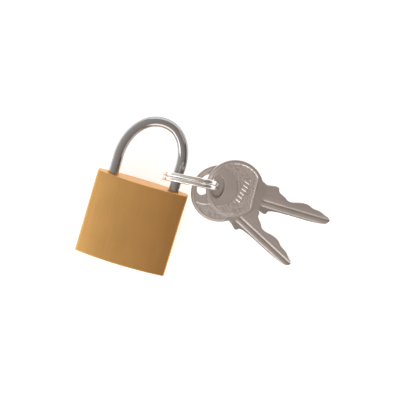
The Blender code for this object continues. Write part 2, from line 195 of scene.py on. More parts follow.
# Split ring: where its wire starts, crosses over and ends, its section, and how it thins at its ends.
RING_START, RING_END = math.radians(26), math.radians(694)
CROSSING, CROSSING_HALF = math.radians(360), math.radians(20)
RING_STEPS = 320
RING_CORNER_R = 0.42
RING_CORNER_STEPS = 4
RING_INSET = 0.07
END_SHRINK = (0.78, 0.93, 1.0)

# Key: its rounded edge, and the bow's pressed field, island round the hole and border.
EDGE_R = 0.2
EDGE_BAND = 0.06
FIELD_R = 11.3
FIELD_DEPTH = 0.24
FIELD_WALL = (0.2, 0.45)
NECK_X, NECK_SLOPE = 8.8, 0.07
ISLAND_R = 8.3
ISLAND_DEPTH = 0.09
ISLAND_WALL = 0.4
BORDER_DEPTH = 0.12
BORDER_WALL = (0.25, 0.45)

# Key: the grain of the field, with the front face as 1 and the back face as -1.
STIPPLE_DEPTH = 0.08
STIPPLE_SEEDS = {1: 7, -1: 8}
PIT_SIZE = 0.48
PITS = 64
PIT_SHARE, ROUGH_SHARE = 0.75, 0.45

# Key: the lens-shaped panel, bent along its spine, and the row of slanted ribs on it.
SPINE_X, SPINE_SLOPE, SPINE_BEND = 3.9, 0.16, 0.012
PANEL_HALF_WIDTH = 2.0
PANEL_HALF_LENGTH = 7.0
PANEL_DEPTH = 0.06
PANEL_WALL = 0.4
RIB_PITCH = 1.7
RIB_SLANT = 0.35
RIB_SIDE = (-0.5, -0.28)
RIB_HALF_LENGTH = 1.35
RIB_ROW_HALF = 5.6
RIB_END = 0.2
RIB_HEIGHT = 0.22

# Key: the blade's two beads on each face, and the plain strip beside them.
BLADE_X = 12.3
BLADE_BLEND = 1.6
BLADE_DEPTH = 0.26
BEADS = {1: (-3.05, -0.5), -1: (-1.5, 1.0)}
BEAD_HALF_WIDTH = 0.95
BEAD_HEIGHT = 0.2
STRIP_FROM, STRIP_TO = 0.6, 0.9
STRIP_HEIGHT = 0.55

# Key: painted light and shade, as what each feature adds to a bright face or takes from it.
# Painted highlights on the stipple, ribs, beads and strip; painted shade in the bowl, pits, border and sunk
# blade; partly polish from use.
BOWL_SHADE = 0.14
FIELD_GLOW = 0.17
GRAIN_SHADE = 0.42
RIB_GLOW = 0.25
BORDER_SHADE = 0.27
BLADE_SHADED_TONE = 0.56
BEAD_GLOW = 0.32
STRIP_GLOW = 0.22

# Key: spacing of the points over its faces, and the room that the rows over its blade fill.
KEY_SPACING = 0.27
EDGE_MARGIN = 0.12
ROWS_X = (9.0, 43.5)
ROWS_Y = (-7.5, 6.6)

# Stage: the floor just under the part.
FLOOR_Z = -0.05

# ---------------------------------------------------------------- stage and light sizes (metres)

FLOOR_HALF_WIDTH = 3.0
LIT_POINT = (0.02, 0.015, 0.0)
CLIP_END = 10.0


# ---------------------------------------------------------------- materials

def shader_node(tree, kind, **inputs):
    """A new node; each named input gets a value, or the output of another node that feeds it."""
    made = tree.nodes.new(kind)
    for name, value in inputs.items():
        socket = made.inputs[name.replace("_", " ")]
        if isinstance(value, bpy.types.NodeSocket):
            tree.links.new(value, socket)
        else:
            socket.default_value = value
    return made


def colour_ramp(tree, value, *stops):
    """Colours along a value, from stops of (position, colour) in rising order."""
    made = shader_node(tree, "ShaderNodeValToRGB", Fac=value)
    elements = made.color_ramp.elements
    elements[0].position, elements[1].position = stops[0][0], stops[-1][0]
    elements[0].color, elements[1].color = (*stops[0][1], 1), (*stops[-1][1], 1)
    for position, colour in stops[1:-1]:
        elements.new(position).color = (*colour, 1)
    return made.outputs["Color"]


def darkened_by(tree, colour, attribute):
    """A colour dimmed where a mesh attribute is low: painted shade in a relief's hollows and painted
    highlight left on its crests, partly polish from use.
    """
    height = shader_node(tree, "ShaderNodeAttribute")
    height.attribute_name = attribute
    painted_light_and_wear = colour_ramp(tree, height.outputs["Fac"], (0.0, (0.12, 0.11, 0.10)), (1.0, (1.0, 1.0, 1.0)))
    shaded_and_worn = shader_node(tree, "ShaderNodeMix")
    shaded_and_worn.data_type = "RGBA"
    shaded_and_worn.blend_type = "MULTIPLY"
    shaded_and_worn.inputs["Factor"].default_value = 1.0
    tree.links.new(colour, shaded_and_worn.inputs["A"])
    tree.links.new(painted_light_and_wear, shaded_and_worn.inputs["B"])
    return shaded_and_worn.outputs["Result"]


def metal(name, colour, roughness, grain=(60, 60, 60), mottle=0.06, rough_spread=0.06, bump=0.02, light_and_wear=None):
    """A metal with stretched grain: slight colour mottling, uneven gloss and a fine relief."""
    made = bpy.data.materials.new(name)
    made.use_nodes = True
    tree = made.node_tree
    place = shader_node(tree, "ShaderNodeTexCoord").outputs["Object"]
    stretched = shader_node(tree, "ShaderNodeMapping", Vector=place, Scale=grain).outputs["Vector"]
    fine = shader_node(tree, "ShaderNodeTexNoise", Vector=stretched, Scale=20.0, Detail=6.0, Roughness=0.6)
    broad = shader_node(tree, "ShaderNodeTexNoise", Vector=place, Scale=90.0, Detail=3.0)
    darker = [channel * (1 - mottle) for channel in colour]
    lighter = [min(1.0, channel * (1 + mottle)) for channel in colour]
    tint = colour_ramp(tree, broad.outputs["Fac"], (0.3, darker), (0.7, lighter))
    gloss = shader_node(tree, "ShaderNodeMapRange", Value=fine.outputs["Fac"], From_Min=0.3, From_Max=0.7,
                        To_Min=roughness - rough_spread, To_Max=roughness + rough_spread)
    relief = shader_node(tree, "ShaderNodeBump", Height=fine.outputs["Fac"], Strength=bump, Distance=0.0002)
    shader = tree.nodes["Principled BSDF"]
    shader.inputs["Metallic"].default_value = 1.0
    # Where an attribute is named, it paints light and shade over the colour: darker hollows and brighter
    # crests, partly polish from use.
    base = tint if light_and_wear is None else darkened_by(tree, tint, light_and_wear)
    tree.links.new(base, shader.inputs["Base Color"])
    tree.links.new(gloss.outputs["Result"], shader.inputs["Roughness"])
    tree.links.new(relief.outputs["Normal"], shader.inputs["Normal"])
    return made


CASE_BRASS = metal("satin_brass", (0.80, 0.445, 0.155), 0.40, grain=(60, 3, 60), bump=0.05, mottle=0.03)
CAP_BRASS = metal("cap_brass", (0.82, 0.54, 0.24), 0.34, mottle=0.05, bump=0.05)
PLUG_BRASS = metal("turned_brass", (0.85, 0.60, 0.28), 0.28, mottle=0.05, bump=0.05)
CHROME = metal("chrome", (0.45, 0.44, 0.44), 0.13, mottle=0.03, rough_spread=0.03, bump=0.01)
# The keys' nickel takes painted shade in the hollows of its relief and painted highlights on its crests,
# partly polish from use.
NICKEL = metal("key_nickel", (0.78, 0.715, 0.675), 0.36, mottle=0.06, rough_spread=0.08, bump=0.08,
               light_and_wear="painted_light_and_wear")
RING_STEEL = metal("ring_nickel", (0.95, 0.92, 0.90), 0.2, mottle=0.04, rough_spread=0.04, bump=0.02)
PIN_BRASS = metal("pin_brass", (0.80, 0.58, 0.26), 0.25, mottle=0.05)
SPRING_STEEL = metal("spring_steel", (0.50, 0.50, 0.51), 0.32, mottle=0.05)
HARD_STEEL = metal("ground_steel", (0.48, 0.48, 0.49), 0.28, mottle=0.05)


# ---------------------------------------------------------------- tools

def in_scene(name, data):
    """A new object that holds the data, linked into the scene."""
    made = bpy.data.objects.new(name, data)
    bpy.context.scene.collection.objects.link(made)
    return made


def finished(name, shape, finish=None, where=(0, 0, 0), turn=None):
    """Writes a bmesh to a new object at a place in millimetres."""
    bmesh.ops.recalc_face_normals(shape, faces=shape.faces)
    mesh = bpy.data.meshes.new(name)
    shape.to_mesh(mesh)
    shape.free()
    if finish is not None:
        mesh.materials.append(finish)
    made = in_scene(name, mesh)
    made.location = Vector(where) * MM
    if turn is not None:
        made.rotation_mode = "QUATERNION"
        made.rotation_quaternion = turn
    return made


def along(axis):
    """The turn that lays +z along an axis."""
    return Vector(axis).to_track_quat("Z", "Y")


def eased(share):
    """A share from 0 to 1 with a soft start and a soft end."""
    return share * share * (3 - 2 * share)


def arc_points(centre, radii, start, end, count):
    """Points on an arc of an ellipse."""
    points = []
    for step in range(count + 1):
        angle = math.radians(start + (end - start) * step / count)
        points.append((centre[0] + radii[0] * math.cos(angle), centre[1] + radii[1] * math.sin(angle)))
    return points


def join_rings(shape, rings):
    """Faces between successive rings; a ring of one vertex is a pole, and open ends are capped."""
    for low, high in zip(rings, rings[1:]):
        count = max(len(low), len(high))
        for i in range(count):
            j = (i + 1) % count
            if len(low) == 1:
                shape.faces.new((low[0], high[j], high[i]))
            elif len(high) == 1:
                shape.faces.new((low[i], low[j], high[0]))
            else:
                shape.faces.new((low[i], low[j], high[j], high[i]))
    if len(rings[0]) > 1:
        shape.faces.new(rings[0][::-1])
    if len(rings[-1]) > 1:
        shape.faces.new(rings[-1])


def spun(name, profile, base, axis, sides, finish=None):
    """A turned piece: (radius, height) points from foot to top, spun about an axis through base."""
    shape = bmesh.new()
    rings = []
    for radius, height in profile:
        if radius < 1e-6:
            rings.append([shape.verts.new((0, 0, height * MM))])
            continue
        ring = []
        for step in range(sides):
            angle = 2 * math.pi * step / sides
            place = (radius * MM * math.cos(angle), radius * MM * math.sin(angle), height * MM)
            ring.append(shape.verts.new(place))
        rings.append(ring)
    join_rings(shape, rings)
    return finished(name, shape, finish, base, along(axis))


def hoop(name, section, base, axis, sides):
    """A cutter ring: a closed (radius, height) section carried round an axis through base."""
    shape = bmesh.new()
    loops = []
    for step in range(sides):
        angle = 2 * math.pi * (step + 0.5) / sides
        loops.append([shape.verts.new((r * MM * math.cos(angle), r * MM * math.sin(angle), h * MM))
                      for r, h in section])
    for low, high in zip(loops, loops[1:] + loops[:1]):
        for i in range(len(section)):
            j = (i + 1) % len(section)
            shape.faces.new((low[i], low[j], high[j], high[i]))
    return finished(name, shape, None, base, along(axis))


def rod(name, radius, length, base, axis, sides):
    """A plain round cutter."""
    return spun(name, [(0, 0), (radius, 0), (radius, length), (0, length)], base, axis, sides)


def bore(name, radius, mouth, inward, depth, flare=0.1, sides=BORE_SIDES):
    """A drilled hole with a small countersink at its mouth and a drill-point end."""
    wide = radius + flare
    tip = depth + radius * DRILL_POINT
    profile = [(wide, -RUN_OUT), (wide, 0), (radius, flare), (radius, depth), (0, tip)]
    return spun(name, profile, mouth, inward, sides)


def block(name, low, high):
    """A cutter box between two corners."""
    shape = bmesh.new()
    bmesh.ops.create_cube(shape, size=1.0)
    bmesh.ops.scale(shape, vec=(Vector(high) - Vector(low)) * MM, verts=shape.verts)
    return finished(name, shape, None, (Vector(low) + Vector(high)) / 2)


def prism(name, outline, low, high, finish=None):
    """A cutter or blank with its outline in XZ, running along Y."""
    shape = bmesh.new()
    ends = [[shape.verts.new((x * MM, y * MM, z * MM)) for x, z in outline] for y in (low, high)]
    join_rings(shape, ends)
    return finished(name, shape, finish)


def bake(target):
    """Replaces the mesh by its evaluated mesh and drops the modifiers."""
    bpy.context.view_layer.update()
    held = target.evaluated_get(bpy.context.evaluated_depsgraph_get())
    mesh = bpy.data.meshes.new_from_object(held)
    old = target.data
    target.modifiers.clear()
    target.data = mesh
    bpy.data.meshes.remove(old)


def carve(target, cutters):
    """Cuts the cutters out of the target for good and removes them."""
    for tool in cutters:
        step = target.modifiers.new(tool.name, "BOOLEAN")
        step.operation = "DIFFERENCE"
        step.solver = "EXACT"
        step.object = tool
    bake(target)
    for tool in cutters:
        mesh = tool.data
        bpy.data.objects.remove(tool)
        bpy.data.meshes.remove(mesh)


def round_edges(target, width, sharp=40.0):
    """Rounds the edges that bend by more than an angle."""
    step = target.modifiers.new("edges", "BEVEL")
    step.width = width * MM
    step.segments = 4
    step.limit_method = "ANGLE"
    step.angle_limit = math.radians(sharp)


def smooth(made, sharp=30.0, weighted=False):
    """Smooth shading up to an angle; weighting keeps large faces flat beside rounded edges."""
    made.data.shade_smooth()
    made.data.set_sharp_from_angle(angle=math.radians(sharp))
    if weighted:
        step = made.modifiers.new("normals", "WEIGHTED_NORMAL")
        step.keep_sharp = True


def stands_for(piece, node, body):
    """A detailed piece takes the place of a CAD node on its body."""
    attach(piece, body)
    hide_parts(node)


# ---------------------------------------------------------------- case

def case_outline():
    """Section across the case: two shallow arcs, narrow rounded sides and a flat down the back."""
    bulge = (THICKNESS - SIDE_THICKNESS) / 2
    radius = (SIDE_X**2 + bulge**2) / (2 * bulge)
    corner_x = SIDE_X - SIDE_CORNER_R
    corner = (SIDE_CORNER_R, SIDE_CORNER_R)
    reach = math.sqrt((radius - SIDE_CORNER_R) ** 2 - corner_x**2)
    spread = math.degrees(math.asin(corner_x / (radius - SIDE_CORNER_R)))
    front_z = THICKNESS - radius
    front_corner = arc_points((corner_x, front_z + reach), corner, 0, 90 - spread, CORNER_STEPS)[:-1]
    front = front_corner + arc_points((0, front_z), (radius, radius), 90 - spread, 90 + spread, FRONT_STEPS)
    front += [(-x, z) for x, z in reversed(front_corner)]
    flat = BACK_FLAT_WIDTH / 2
    back_z = math.sqrt(radius**2 - flat**2)
    flat_angle = math.degrees(math.asin(flat / radius))
    left = arc_points((-corner_x, back_z - reach), corner, 180, 270 - spread, CORNER_STEPS)[:-1]
    left += arc_points((0, back_z), (radius, radius), 270 - spread, 270 - flat_angle, BACK_STEPS)
    right = [(-x, z) for x, z in reversed(left)]
    return front + left + right


def case():
    """The solid brass case with the bores that its works sit in."""
    body = prism("case", case_outline(), FOOT_Y, TOP_Y, CASE_BRASS)
    round_edges(body, CASE_ROUNDING)
    heel_depth = TOP_Y - node_box("shackle_spring")[0].y + BORE_GAP
    toe_depth = TOP_Y - TOE_END_Y + TOE_BORE_GAP
    bolt_depth = SIDE_X - node_box("bolt_spring")[0].x + BORE_GAP
    plug_end = node_box("cylinder_plug")[1].y
    plug_depth = plug_end - FOOT_Y + BORE_GAP
    cam_depth = BOLT_Y + CAM_BORE_LAP - plug_end
    heel_mouth, toe_mouth = (-LEG_X, TOP_Y, MID_Z), (LEG_X, TOP_Y, MID_Z)
    heel_pin_mouth, bolt_mouth = (-SIDE_X, HEEL_PIN_Y, MID_Z), (SIDE_X, BOLT_Y, MID_Z)
    plug_pin_mouth = (PLUG_PIN.x, PLUG_PIN.y, PLUG_PIN_HOLE_Z)
    cutters = [
        bore("heel_bore", WIRE_R + BORE_GAP, heel_mouth, TO_KEYWAY, heel_depth, flare=0.25),
        bore("toe_bore", WIRE_R + BORE_GAP, toe_mouth, TO_KEYWAY, toe_depth, flare=0.25),
        bore("plug_bore", PLUG_R + PLUG_GAP, (0, FOOT_Y, MID_Z), TO_SHACKLE, plug_depth, flare=0.2),
        bore("heel_pin_bore", PIN_HOLE_R, heel_pin_mouth, TO_RIGHT, PIN_HOLE_DEPTH),
        bore("bolt_bore", BOLT_BORE_R, bolt_mouth, TO_LEFT, bolt_depth),
        bore("cam_bore", CAM_BORE_R, (0, plug_end - CAM_BORE_LAP, MID_Z), TO_SHACKLE, cam_depth,
             sides=SMALL_BORE_SIDES),
        bore("plug_pin_bore", PIN_HOLE_R, plug_pin_mouth, TO_FRONT, PIN_HOLE_DEPTH, sides=DRILL_SIDES),
    ]
    for number in STACKS:
        mouth = (SIDE_X, node_middle(f"chamber_cap_{number}").y, MID_Z)
        cutters.append(bore(f"chamber_{number}", CHAMBER_R, mouth, TO_LEFT, CHAMBER_DEPTH, flare=0.08,
                            sides=SMALL_BORE_SIDES))
    carve(body, cutters)
    smooth(body, weighted=True)
    stands_for(body, "lock_body", "case")


def pin_profile(radius, length):
    """A short pin with a chamfered foot and a softened rim at the end that shows."""
    rim = [(radius - narrower, length - shorter) for narrower, shorter in PIN_RIM]
    return [(0, 0), (radius - PIN_CHAMFER, 0), (radius, PIN_CHAMFER), *rim, (0, length)]


def side_plugs():
    """The brass caps on the right side, and the ends of the two steel retaining pins."""
    caps = [(f"chamber_cap_{number}", CHAMBER_CAP_R) for number in STACKS]
    caps.append(("bolt_bore_plug", BOLT_CAP_R))
    for node, radius in caps:
        low, high = node_box(node)
        base = (low.x, node_middle(node).y, MID_Z)
        profile = pin_profile(radius, high.x - low.x)
        cap = spun(f"{node}_turned", profile, base, TO_RIGHT, CAP_SIDES, CAP_BRASS)
        smooth(cap)
        stands_for(cap, node, "case")
    for node, axis in (("shackle_retaining_pin", TO_LEFT), ("plug_retaining_pin", TO_BACK)):
        low, high = node_box(node)
        length = max(high - low)
        base = node_middle(node) - Vector(axis) * length / 2
        pin = spun(f"{node}_turned", pin_profile(PIN_R, length), base, axis, PIN_SIDES, HARD_STEEL)
        smooth(pin)
        stands_for(pin, node, "case")


def plug():
    """The cylinder plug with its keyway, pin chambers, retaining groove and cam hole."""
    low, high = node_box("cylinder_plug")
    length = high.y - low.y
    profile = [
        (0, 0), (PLUG_R - PLUG_CHAMFER, 0), (PLUG_R - PLUG_BREAK, PLUG_BREAK), (PLUG_R, PLUG_CHAMFER),
        (PLUG_R, GROOVE_FROM_FACE - GROOVE_HALF), (GROOVE_R, GROOVE_FROM_FACE - GROOVE_HALF),
        (GROOVE_R, GROOVE_FROM_FACE + GROOVE_HALF), (PLUG_R, GROOVE_FROM_FACE + GROOVE_HALF),
        (PLUG_R, length - PLUG_CHAMFER), (PLUG_R - PLUG_CHAMFER, length), (0, length),
    ]
    made = spun("plug_turned", profile, (0, low.y, MID_Z), TO_SHACKLE, PLUG_SIDES, PLUG_BRASS)
    outline = [(x, MID_Z + z) for x, z in KEYWAY]
    flared = [(x * MOUTH_FLARE[0], MID_Z + z * MOUTH_FLARE[1]) for x, z in KEYWAY]
    cutters = [
        prism("keyway", outline, low.y - RUN_OUT, low.y + KEYWAY_DEPTH),
        prism("keyway_mouth", flared, low.y - RUN_OUT, low.y + MOUTH_DEPTH),
    ]
    for number in STACKS:
        foot = (0, node_middle(f"key_pin_{number}").y, MID_Z + CHAMBER_FLOOR)
        cutters.append(rod(f"chamber_{number}", CHAMBER_R, DRILL_LENGTH, foot, TO_FRONT, DRILL_SIDES))
    pin = node_middle("plug_cam_pin")
    cam_foot = (pin.x, high.y - CAM_HOLE_DEPTH, pin.z)
    cutters.append(rod("cam_hole", CAM_HOLE_R, DRILL_LENGTH, cam_foot, TO_SHACKLE, DRILL_SIDES))
    carve(made, cutters)
    smooth(made, weighted=True)
    stands_for(made, "cylinder_plug", "plug")


# ---------------------------------------------------------------- shackle

def shackle_path():
    """Centre line from the heel's end over the arch to the toe's end, as (x, y, radius)."""
    arch_y = TOP_Y + ARCH_RISE
    path = [(-LEG_X, HEEL_END_Y + up, WIRE_R - less) for up, less in WIRE_END]
    for step in range(1, HEEL_STEPS):
        path.append((-LEG_X, HEEL_END_Y + (arch_y - HEEL_END_Y) * step / HEEL_STEPS, WIRE_R))
    for step in range(ARCH_STEPS + 1):
        angle = math.pi - math.pi * step / ARCH_STEPS
        across, up = math.cos(angle), max(0.0, math.sin(angle))
        rise = up ** (2 / ARCH_POWER)
        x = LEG_X * math.copysign(abs(across) ** (2 / ARCH_POWER), across) + ARCH_LEAN * rise
        path.append((x, arch_y + ARCH_HEIGHT * rise, WIRE_R))
    for step in range(1, TOE_STEPS):
        path.append((LEG_X, arch_y + (TOE_END_Y - arch_y) * step / TOE_STEPS, WIRE_R))
    path += [(LEG_X, TOE_END_Y + up, WIRE_R - less) for up, less in reversed(WIRE_END)]
    return path


def shackle():
    """The bent wire with the heel's flat and groove and the toe's notch."""
    path = shackle_path()
    shape = bmesh.new()
    rings = []
    for index, (x, y, radius) in enumerate(path):
        before = Vector(path[max(0, index - 1)][:2])
        after = Vector(path[min(len(path) - 1, index + 1)][:2])
        ahead = (after - before).normalized()
        across = Vector((-ahead.y, ahead.x))
        ring = []
        for step in range(WIRE_SIDES):
            angle = 2 * math.pi * step / WIRE_SIDES
            out, up = radius * math.cos(angle), radius * math.sin(angle)
            place = ((x + across.x * out) * MM, (y + across.y * out) * MM, (MID_Z + up) * MM)
            ring.append(shape.verts.new(place))
        rings.append(ring)
    join_rings(shape, rings)
    wire = finished("shackle_wire", shape, CHROME)
    flat_top = HEEL_PIN_Y + FLAT_SPARE
    flat_foot = HEEL_PIN_Y - FLAT_SPARE - LIFT
    flat_low = (-LEG_X - CUTTER_REACH, flat_foot, 0)
    flat_high = (-LEG_X - FLAT_FROM_AXIS, flat_top, THICKNESS)
    notch_low = (LEG_X - CUTTER_REACH, BOLT_Y - NOTCH_HALF, 0)
    notch_high = (LEG_X - WIRE_R + NOTCH_DEPTH, BOLT_Y + NOTCH_HALF, THICKNESS)
    cutters = [
        block("heel_flat", flat_low, flat_high),
        hoop("heel_groove", LEG_GROOVE, (-LEG_X, flat_foot, MID_Z), TO_SHACKLE, WIRE_SIDES),
        block("toe_notch", notch_low, notch_high),
    ]
    carve(wire, cutters)
    smooth(wire)
    stands_for(wire, "shackle", "shackle")


# ---------------------------------------------------------------- split ring

def ring_section():
    """The ring wire's section, as (radial, axial): a rectangle with round corners."""
    half_r, half_a = RING_RADIAL / 2 - RING_CORNER_R, RING_AXIAL / 2 - RING_CORNER_R
    section = []
    for side_r, side_a, first in ((1, 1, 0), (-1, 1, 90), (-1, -1, 180), (1, -1, 270)):
        for step in range(RING_CORNER_STEPS + 1):
            angle = math.radians(first + 90 * step / RING_CORNER_STEPS)
            section.append((side_r * half_r + RING_CORNER_R * math.cos(angle),
                            side_a * half_a + RING_CORNER_R * math.sin(angle)))
    return section


def split_ring():
    """Two turns of flat wire, one on the other, with the crossing between the wire's two ends."""
    offset = (RING_AXIAL + RING_GAP) / 2
    middle = RING_OUTER_R - RING_RADIAL / 2 - RING_INSET
    section = ring_section()
    shape = bmesh.new()
    rings = []
    for index in range(RING_STEPS + 1):
        angle = RING_START + (RING_END - RING_START) * index / RING_STEPS
        share = min(1.0, max(0.0, (angle - CROSSING + CROSSING_HALF) / (2 * CROSSING_HALF)))
        height = offset * (2 * eased(share) - 1)
        shrink = END_SHRINK[min(2, index, RING_STEPS - index)]
        ring = []
        for across, up in section:
            radius = (middle + across * shrink) * MM
            place = (radius * math.cos(angle), radius * math.sin(angle), (height + up * shrink) * MM)
            ring.append(shape.verts.new(place))
        rings.append(ring)
    join_rings(shape, rings)
    right = Vector((math.cos(RING_YAW), math.sin(RING_YAW), 0))
    lean = Vector((0, math.sin(RING_LEAN), math.cos(RING_LEAN)))
    up = (lean - right * lean.dot(right)).normalized()
    stance = Matrix((right, up, right.cross(up))).transposed().to_quaternion()
    ring = finished("ring_wire", shape, RING_STEEL, RING_MIDDLE, stance)
    smooth(ring, sharp=40)
    stands_for(ring, "split_ring", "ring")


# ---------------------------------------------------------------- keys

def rounded(points, share=0.22, passes=2):
    """Cuts the corners of an open run of points, keeping its two ends."""
    for _ in range(passes):
        made = [points[0]]
        for (ax, ay), (bx, by) in zip(points, points[1:]):
            made.append((ax + (bx - ax) * share, ay + (by - ay) * share))
            made.append((bx - (bx - ax) * share, by - (by - ay) * share))
        points = made + [points[-1]]
    return points


def inset(loop, distance):
    """A closed loop moved inward (to its left) by a distance."""
    pts = np.array(loop)
    ahead = np.roll(pts, -1, 0) - np.roll(pts, 1, 0)
    ahead /= np.linalg.norm(ahead, axis=1)[:, None]
    return pts + distance * np.stack([-ahead[:, 1], ahead[:, 0]], 1)


def inside(points, loop):
    """Which points lie in a closed loop."""
    x, y = points[:, 0], points[:, 1]
    held = np.zeros(len(points), bool)
    for (ax, ay), (bx, by) in zip(loop, np.roll(loop, -1, 0)):
        crosses = (ay > y) != (by > y)
        if crosses.any():
            at = ax + (bx - ax) * (y[crosses] - ay) / (by - ay)
            held[crosses] ^= x[crosses] < at
    return held


def distance_to(points, loop):
    """Distance of each point from a closed loop."""
    best = np.full(len(points), np.inf)
    for a, b in zip(loop, np.roll(loop, -1, 0)):
        along_edge = b - a
        share = np.clip(((points - a) @ along_edge) / (along_edge @ along_edge), 0, 1)
        best = np.minimum(best, np.linalg.norm(points - a - share[:, None] * along_edge, axis=1))
    return best


def ramp(value, low, high):
    """A soft step from 0 at low to 1 at high."""
    return eased(np.clip((value - low) / (high - low), 0, 1))


def bead(y, middle):
    """A rounded ridge across the blade, from 0 at its feet to 1 along its crest."""
    return np.clip(1 - ((y - middle) / BEAD_HALF_WIDTH) ** 2, 0, 1)


def stippling(points, seed):
    """Uneven grain from about -1 to 1: coarse pits spread over a fine roughness."""
    draw = np.random.default_rng(seed)
    pits = draw.uniform(-1, 1, (PITS, PITS))
    place = points / PIT_SIZE + 30
    cell = np.floor(place).astype(int)
    (i, j), (u, v) = cell.T % (PITS - 2), eased(place - cell).T
    low = pits[i, j] * (1 - u) + pits[i + 1, j] * u
    high = pits[i, j + 1] * (1 - u) + pits[i + 1, j + 1] * u
    return PIT_SHARE * (low * (1 - v) + high * v) + ROUGH_SHARE * draw.uniform(-1, 1, len(points))


def bow_relief(x, y, grain):
    """Depth and tone of the bow: a stippled field in a border, an island by the hole and a ribbed panel; the
    tone is painted light and shade.
    """
    neck_line = NECK_X - NECK_SLOPE * y - x
    boundary = np.minimum(FIELD_R - np.hypot(x, y), neck_line)
    bowl = ramp(boundary, *FIELD_WALL)
    border = ramp(-boundary, *BORDER_WALL)
    from_hole = np.hypot(x - HOLE_CENTRE[0], y - HOLE_CENTRE[1])
    field = bowl * ramp(from_hole, ISLAND_R, ISLAND_R + ISLAND_WALL)
    spine = SPINE_X + SPINE_SLOPE * y - SPINE_BEND * y * y
    from_spine = np.abs(x - spine)
    lens = PANEL_HALF_WIDTH * np.sqrt(np.clip(1 - (y / PANEL_HALF_LENGTH) ** 2, 0, 1))
    panel = ramp(lens - from_spine, 0.0, PANEL_WALL)
    stippled = field * (1 - panel)
    across = y + RIB_SLANT * (x - spine) + 10 * RIB_PITCH
    rib = ramp(-np.abs(across % RIB_PITCH - RIB_PITCH / 2), *RIB_SIDE)
    rib = rib * ramp(RIB_HALF_LENGTH - from_spine, 0.0, RIB_END)
    rib = rib * ramp(RIB_ROW_HALF - np.abs(y), 0.0, RIB_END)
    depth = ISLAND_DEPTH * bowl + (FIELD_DEPTH - ISLAND_DEPTH) * field + BORDER_DEPTH * border
    depth += PANEL_DEPTH * panel * field - RIB_HEIGHT * rib + STIPPLE_DEPTH * grain * stippled
    # Painted shade in the bowl, the pits and the border; painted highlights on the stipple and the ribs.
    tone = 1.0 - BOWL_SHADE * bowl + (FIELD_GLOW - GRAIN_SHADE * grain) * stippled
    return depth, tone + RIB_GLOW * rib - BORDER_SHADE * border


def blade_relief(y, face):
    """Depth and tone of the blade: two beads in a sunk face, with a plain strip beside the cuts; the tone is
    painted light and shade.
    """
    lower, upper = BEADS[face]
    crest = np.maximum(bead(y, lower), bead(y, upper))
    strip = ramp(y, upper + STRIP_FROM, upper + STRIP_TO)
    depth = BLADE_DEPTH - BEAD_HEIGHT * np.maximum(crest, STRIP_HEIGHT * strip)
    # Painted shade on the sunk face; painted highlights along the bead crests and the plain strip.
    tone = BLADE_SHADED_TONE + BEAD_GLOW * np.sqrt(crest) + STRIP_GLOW * strip * (1 - crest)
    return depth, tone


def key_relief(points, edge, grain, face):
    """Depth of a key's face below its full height, and the painted light and shade there, partly polish from
    use.
    """
    x, y = points[:, 0], points[:, 1]
    bow_depth, bow_tone = bow_relief(x, y, grain)
    blade_depth, blade_tone = blade_relief(y, face)
    blade = ramp(x, BLADE_X, BLADE_X + BLADE_BLEND)
    rounding = np.clip(EDGE_R - edge, 0, EDGE_R)
    depth = bow_depth * (1 - blade) + blade_depth * blade
    depth += EDGE_R - np.sqrt(np.maximum(EDGE_R**2 - rounding**2, 0))
    return depth, bow_tone * (1 - blade) + blade_tone * blade


def key_points(outline, hole):
    """Points spread over a key's face, clear of its edges: rings over the bow and rows over the blade."""
    scatter = []
    for ring in range(1, int(BOW_R / KEY_SPACING) + 1):
        radius = ring * KEY_SPACING
        count = max(6, int(2 * math.pi * radius / KEY_SPACING))
        angles = (np.arange(count) + 0.5 * (ring % 2)) * 2 * math.pi / count
        scatter.append(np.stack([radius * np.cos(angles), radius * np.sin(angles)], 1))
    bow = np.vstack(scatter)
    bow = bow[bow[:, 0] < ROWS_X[0]]
    xs, ys = np.meshgrid(np.arange(*ROWS_X, KEY_SPACING * 1.4), np.arange(*ROWS_Y, KEY_SPACING * 0.6))
    rows = np.stack([xs.ravel(), ys.ravel()], 1)
    spread = np.vstack([bow, rows])
    margin = EDGE_R + EDGE_MARGIN
    clear = inside(spread, outline) & ~inside(spread, hole)
    clear &= (distance_to(spread, outline) > margin) & (distance_to(spread, hole) > margin)
    return spread[clear]


def key_face(outline, hole):
    """A key's flat face as points and triangles, with bands of narrow faces along its edges."""
    loops = [inset(loop, distance) for loop in (outline, hole) for distance in (0, EDGE_BAND, EDGE_R)]
    edges = []
    first = 0
    for loop in loops:
        count = len(loop)
        edges += [(first + i, first + (i + 1) % count) for i in range(count)]
        first += count
    points = [Vector(point) for point in (*np.vstack(loops), *key_points(outline, hole))]
    flat, _, faces, _, _, _ = delaunay_2d_cdt(points, edges, [], 0, 1e-5)
    flat = np.array([tuple(point) for point in flat])
    faces = np.array([face for face in faces if len(face) == 3])
    middles = flat[faces].mean(axis=1)
    return flat, faces[inside(middles, outline) & ~inside(middles, hole)]


